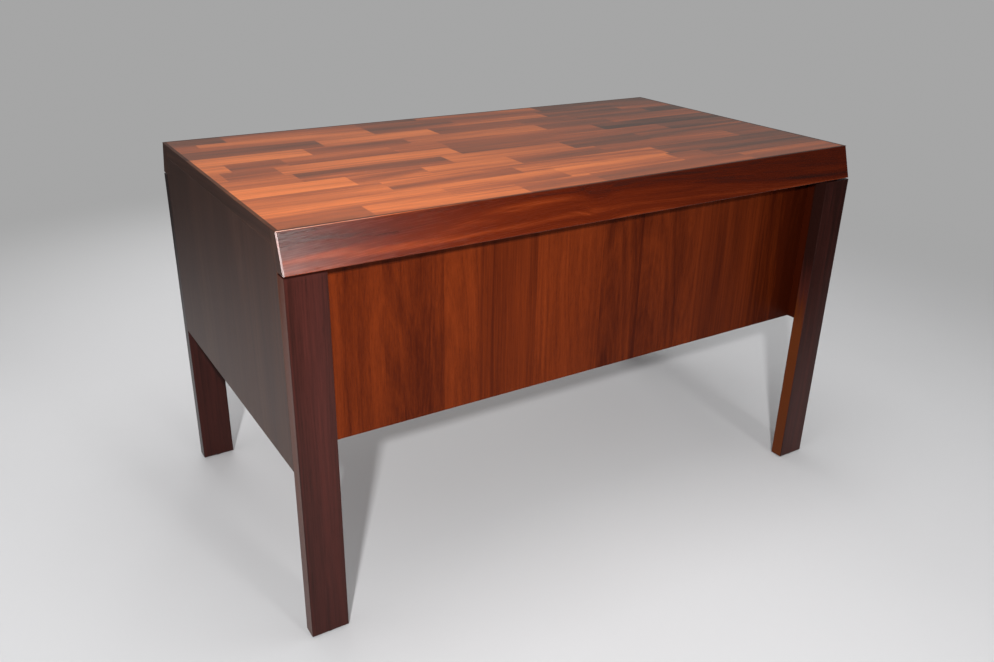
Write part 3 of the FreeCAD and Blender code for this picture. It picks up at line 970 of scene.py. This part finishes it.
class DESK_OT_panels(bpy.types.Operator):
    """Dress the end panels and the modesty panel"""

    bl_idname = "desk.panels"
    bl_label = "Panels"

    def execute(self, context):
        colours = context.scene.desk_rosewood
        modesty = wood("rosewood_modesty", stops_of(colours, "panel"), figure=0.55, index=1.15,
                       gloss=1.5)
        # The modesty panel's last leaves on the right carry painted shade beside the right leg
        dress("modesty_panel", self.veneered("modesty_panel", 0, "z", MODESTY_LEAVES_AND_SHADE), modesty)
        end = wood("rosewood_end_panel", stops_of(colours, "end"), figure=0.6, index=1.36,
                   gloss=1.5)
        stops = stops_between(colours.leg_line, colours.panel_line, colours.panel_line)
        backing = wood("rosewood_backing", stops, index=1.15)
        for side in SIDES:
            node = "end_panel_" + side
            # The paler foot is a painted reflection of the floor
            made = self.veneered(node, 1, "z_turned", END_LEAVES, END_PAINTED_SHEEN)
            made.normal_update()
            inward = -math.copysign(1.0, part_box(node)[0].x)
            for face in made.faces:
                face.material_index = int(face.normal.x * inward > STRAIGHT)
            dress(node, made, end, backing)
        return {"FINISHED"}

    def veneered(self, node, axis, grain, leaves, paler=0.0):
        """A panel of upright veneer leaves side by side along an axis.

        Each leaf has its own place in the log. The tone rises by paler towards the foot, which on
        an end panel is a painted reflection of the floor.
        """
        low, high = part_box(node)
        places = joints_of([part for tone, part in leaves], low[axis], high[axis])
        made = eased_copy(node, bpy.context.scene.desk_shapes.inner_arris)
        for place in places[1:-1]:
            slice_faces(made, axis, place)
        depth = (low + high)[1 - axis] / 2

        def log_of(middle):
            leaf = interval(places, middle[axis])
            draw = random.Random("%s %d" % (node, leaf))
            centre = Vector((0.0, (places[leaf] + places[leaf + 1]) / 2, depth))
            return from_log("leaf", draw, draw, centre)

        def tone_of(middle, corner):
            drop = (high.z - corner.z) / (high.z - low.z)
            return leaves[interval(places, middle[axis])][0] + paler * drop
        lay_grain(made, grain, log_of, tone_of)
        return made


class DESK_OT_pedestals(bpy.types.Operator):
    """Dress the pedestals, and the runners, kickers and cleats"""

    bl_idname = "desk.pedestals"
    bl_label = "Pedestals and Strips"

    def execute(self, context):
        inner = context.scene.desk_inner
        stops = stops_of(context.scene.desk_rosewood, "panel")
        veneer = wood("rosewood_pedestal", stops, figure=0.7)
        for side in SIDES:
            for wall in ("inner", "outer"):
                dress_board("pedestal_%s_side_%s" % (wall, side), veneer, "z_turned", tone=0.42)
            dress_board("pedestal_bottom_" + side, veneer, "x", tone=0.4)
        stops = stops_between(inner.hardwood_line, inner.hardwood, inner.plywood)
        hardwood = wood("hardwood_strip", stops, gloss=1.4)
        for node in ("drawer_runners", "drawer_kickers", "top_cleats"):
            dress_board(node, hardwood, "y", tone=0.35)
        return {"FINISHED"}


class DESK_OT_drawers(bpy.types.Operator):
    """Dress the boxes, faces and pulls of the drawers"""

    bl_idname = "desk.drawers"
    bl_label = "Drawers"

    def execute(self, context):
        colours = context.scene.desk_rosewood
        inner = context.scene.desk_inner
        stops = stops_between(inner.hardwood_line, inner.hardwood, inner.plywood)
        hardwood = wood("drawer_hardwood", stops, gloss=1.3)
        stops = stops_between(inner.hardwood_line, inner.plywood, inner.plywood)
        plywood = wood("drawer_plywood", stops, figure=0.6, rings=2.0, gloss=1.3)
        face = wood("rosewood_drawer_face", stops_of(colours, "panel"))
        pull = wood("rosewood_pull", stops_of(colours, "leg"))
        for drawer in DRAWERS:
            for side in SIDES:
                dress_board("%s_side_%s" % (drawer, side), hardwood, "y_upright", tone=0.55)
            dress_board(drawer + "_back", hardwood, "x_upright")
            dress_board(drawer + "_bottom", plywood, "x")
            dress_board(drawer + "_face", face, "x_upright")
            dress_board(drawer + "_pull", pull, "x_upright")
        return {"FINISHED"}


class DESK_OT_small_parts(bpy.types.Operator):
    """Make the screws, dowels and glides"""

    bl_idname = "desk.small_parts"
    bl_label = "Screws, Dowels and Glides"

    def execute(self, context):
        shapes = context.scene.desk_shapes
        inner = context.scene.desk_inner
        self.make_screws(shapes, plain_material("screw_steel", inner.steel, 0.42, metallic=1.0))
        self.make_dowels(shapes, plain_material("dowel_beech", inner.beech, 0.6))
        self.make_glides(plain_material("glide_nylon", inner.nylon, 0.45))
        return {"FINISHED"}

    def make_screws(self, shapes, material):
        """Slotted pan-head screws in the places of the plain ones."""
        made = bmesh.new()
        for corners in solids_of("case_screws"):
            low, high, size, axis, place = lie(corners)
            wide = max(size[other] for other in range(3) if other != axis) / 2
            radii = [off_axis(corner, place, axis) for corner in corners]
            shank = min(radius for radius in radii if radius > wide * MIDDLE_SHARE)
            head_low, head_high = span([corner for corner, radius in zip(corners, radii)
                                        if radius > wide * HEAD_SHARE])
            way = 1.0 if head_high[axis] > high[axis] - MERGE else -1.0
            place[axis] = high[axis] if way > 0 else low[axis]
            screw = slotted_screw(wide, head_high[axis] - head_low[axis], shank, size[axis],
                                  shapes)
            place_part(made, screw, pointing(axis, way, place))
        dress("case_screws", made, material)

    def make_dowels(self, shapes, material):
        """Fluted pins with chamfered ends."""
        made = bmesh.new()
        for corners in solids_of("end_panel_dowels"):
            low, high, size, axis, place = lie(corners)
            place[axis] = low[axis]
            pin = fluted_pin(min(size) / 2, size[axis], shapes.flute_depth)
            place_part(made, pin, pointing(axis, 1.0, place))
        dress("end_panel_dowels", made, material)

    def make_glides(self, material):
        """Round glides with a rolled rim and the nail that holds each."""
        made = bmesh.new()
        for corners in solids_of("leg_glides"):
            low, high = span(corners)
            tall = high.z - low.z
            foot = half_width([corner for corner in corners if corner.z < low.z + MERGE])
            nail = half_width([corner for corner in corners if corner.z > high.z - MERGE])
            rim = half_width(corners)
            thick = max(corner.z for corner in corners
                        if abs(corner.x - high.x) < MERGE) - low.z
            roll = thick * GLIDE_ROLL
            profile = [(0.0, 0.0), (foot, 0.0), (foot + (rim - foot) * GLIDE_FLARE, roll),
                       (rim, thick - roll), (rim - roll / 2, thick), (nail, thick),
                       (nail, tall - nail), (0.0, tall)]
            place = (low + high) / 2
            place.z = low.z
            place_part(made, lathe(profile, GLIDE_STEPS), Matrix.Translation(place))
        dress("leg_glides", made, material)


class DESK_OT_stage(bpy.types.Operator):
    """Set the floor, the lamps, the light from all round and the camera"""

    bl_idname = "desk.stage"
    bl_label = "Stage"

    def execute(self, context):
        stage = context.scene.desk_stage
        self.lay_floor(stage)
        self.light_world(context.scene, stage)
        self.hang_lamps(stage)
        self.place_camera(context.scene, stage)
        context.scene.view_settings.view_transform = "Standard"
        return {"FINISHED"}

    def lay_floor(self, stage):
        """A pale floor that blends into the backdrop away from the desk."""
        made = bmesh.new()
        bmesh.ops.create_circle(made, cap_ends=True, radius=FLOOR_RADIUS, segments=FLOOR_STEPS)
        material, tree, shader = fresh_material("pale_floor")
        place = add(tree, "TexCoord").outputs["Object"]
        patch = noise(tree, place, FLOOR_RATE, detail=3.0)
        feed(tree, shader, {"Base Color": mottled(tree, patch, stage.floor_colour, FLOOR_SHADE),
                            "Roughness": FLOOR_ROUGHNESS, "Specular IOR Level": 0.0})
        far = fade(tree, vectors(tree, "LENGTH", place, output="Value"), *FLOOR_FADE)
        shown = show_backdrop(tree, shader, "Emission", stage.backdrop, place, FLOOR_REACH,
                              FLOOR_DIM, far)
        feed(tree, tree.nodes["Material Output"], {"Surface": shown})
        floor = place_object("floor", made, material)

    def light_world(self, scene, stage):
        """Even light for the desk, and the backdrop for what looks past it."""
        world = bpy.data.worlds.new("studio")
        scene.world = world
        world.use_nodes = True
        tree = world.node_tree
        even = tree.nodes["Background"]
        feed(tree, even, {"Color": (1.0, 1.0, 1.0, 1.0), "Strength": stage.ambient})
        towards = add(tree, "TexCoord").outputs["Generated"]
        shown = show_backdrop(tree, even, "Background", stage.backdrop, towards, WORLD_REACH,
                              WORLD_DIM)
        feed(tree, tree.nodes["World Output"], {"Surface": shown})

    def hang_lamps(self, stage):
        """Hang each lamp in its place, and turn it to the desk or to what it is for."""
        low, high = CAD_BOX
        corner = Vector((low.x, low.y, high.z))
        panel_low, panel_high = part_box("modesty_panel")
        edge = Vector((0.0, panel_low.y, panel_low.z))
        over_camera = Vector(stage.camera_place) + Vector((0.0, 0.0, KEY_RISE))
        places = {**LAMP_PLACES, "key": over_camera,
                  "wash": edge.lerp(over_camera, WASH_REACH)}
        targets = {"wash": edge, "sheen": corner, "glint": corner}
        for name, (width, tall, spread) in LAMPS.items():
            lamp = hang_lamp(name, Vector(places[name]), targets.get(name, (low + high) / 2))
            lamp.data.size = width
            lamp.data.size_y = tall
            lamp.data.spread = math.radians(spread)
            lamp.data.energy = getattr(stage, name + "_power")
            lamp.visible_glossy = name not in UNMIRRORED
            lamp.visible_diffuse = name not in MIRRORED_ONLY
            if name in LIT:
                light_only(lamp, LIT[name])

    def place_camera(self, scene, stage):
        """The camera at the place from which the photo shows the desk."""
        data = bpy.data.cameras.new("camera")
        data.sensor_width = 36.0
        data.sensor_fit = "HORIZONTAL"
        data.lens = stage.camera_lens
        camera = bpy.data.objects.new("camera", data)
        turn = (Matrix.Rotation(stage.camera_azimuth, 4, "Z")
                @ Matrix.Rotation(math.pi / 2 - stage.camera_elevation, 4, "X")
                @ Matrix.Rotation(stage.camera_roll, 4, "Z"))
        camera.matrix_world = Matrix.Translation(stage.camera_place) @ turn
        scene.collection.objects.link(camera)
        scene.camera = camera


def show_backdrop(tree, base, kind, tint, place, reach, behind, share_shown=1.0):
    """Mix the backdrop into a shader, for rays that the camera or a mirror sends.

    Rays that carry light don't see it. The lacquer mirrors it dimmer: by behind on the
    sitter's side, and by more on the visitor's.
    """
    rays = add(tree, "LightPath").outputs
    mirrored = rays["Is Glossy Ray"]
    depth = add(tree, "SeparateXYZ", {0: place}).outputs["Y"]
    dimmed = fade(tree, depth, -reach, reach, VISITOR_DIM, behind)
    strength = maths(tree, "SUBTRACT", 1.0, maths(tree, "MULTIPLY", mirrored, dimmed))
    shown = add(tree, kind, {"Color": (*tint, 1.0), "Strength": strength})
    seen = maths(tree, "MAXIMUM", rays["Is Camera Ray"], mirrored)
    seen = maths(tree, "MAXIMUM", seen, rays["Is Transmission Ray"])
    return add(tree, "MixShader", {0: maths(tree, "MULTIPLY", share_shown, seen),
                                   1: base.outputs[0], 2: shown.outputs[0]}).outputs[0]


def hang_lamp(name, place, target):
    """A rectangular lamp that faces a target."""
    data = bpy.data.lights.new(name, "AREA")
    data.shape = "RECTANGLE"
    lamp = bpy.data.objects.new(name, data)
    lamp.location = place
    lamp.rotation_mode = "QUATERNION"
    lamp.rotation_quaternion = (target - place).to_track_quat("-Z", "Y")
    lamp.visible_camera = False
    bpy.context.scene.collection.objects.link(lamp)
    return lamp


def light_only(lamp, names):
    """Let a lamp light only the objects with these names."""
    chosen = bpy.data.collections.new("lit by " + lamp.name)
    for name in names:
        chosen.objects.link(bpy.data.objects[name])
    lamp.light_linking.receiver_collection = chosen


class DESK_PT_sidebar(bpy.types.Panel):
    """Lists the pieces of the desk and what can be changed"""

    bl_idname = "DESK_PT_sidebar"
    bl_label = "Pedestal Desk"
    bl_space_type = "VIEW_3D"
    bl_region_type = "UI"
    bl_category = "Desk"

    def draw(self, context):
        for operator in OPERATORS:
            self.layout.operator(operator.bl_idname)
        for name in SETTINGS:
            group = getattr(context.scene, name)
            box = self.layout.box()
            for entry in group.bl_rna.properties:
                if not entry.is_readonly and entry.identifier != "name":
                    box.prop(group, entry.identifier)


OPERATORS = (DESK_OT_top, DESK_OT_fascias, DESK_OT_legs, DESK_OT_panels, DESK_OT_pedestals,
             DESK_OT_drawers, DESK_OT_small_parts, DESK_OT_stage)
SETTINGS = {"desk_shapes": DeskShapes, "desk_rosewood": RosewoodColours,
            "desk_inner": InnerColours, "desk_grain": GrainSettings, "desk_stage": StageSettings}


def register():
    for made in (*SETTINGS.values(), *OPERATORS, DESK_PT_sidebar):
        bpy.utils.register_class(made)
    for name, group in SETTINGS.items():
        setattr(bpy.types.Scene, name, bpy.props.PointerProperty(type=group))


def unregister():
    for name in SETTINGS:
        delattr(bpy.types.Scene, name)
    for made in reversed((*SETTINGS.values(), *OPERATORS, DESK_PT_sidebar)):
        bpy.utils.unregister_class(made)


def main():
    """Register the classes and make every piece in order."""
    register()
    for operator in OPERATORS:
        group, name = operator.bl_idname.split(".")
        getattr(getattr(bpy.ops, group), name)()


if __name__ == "__main__":
    main()
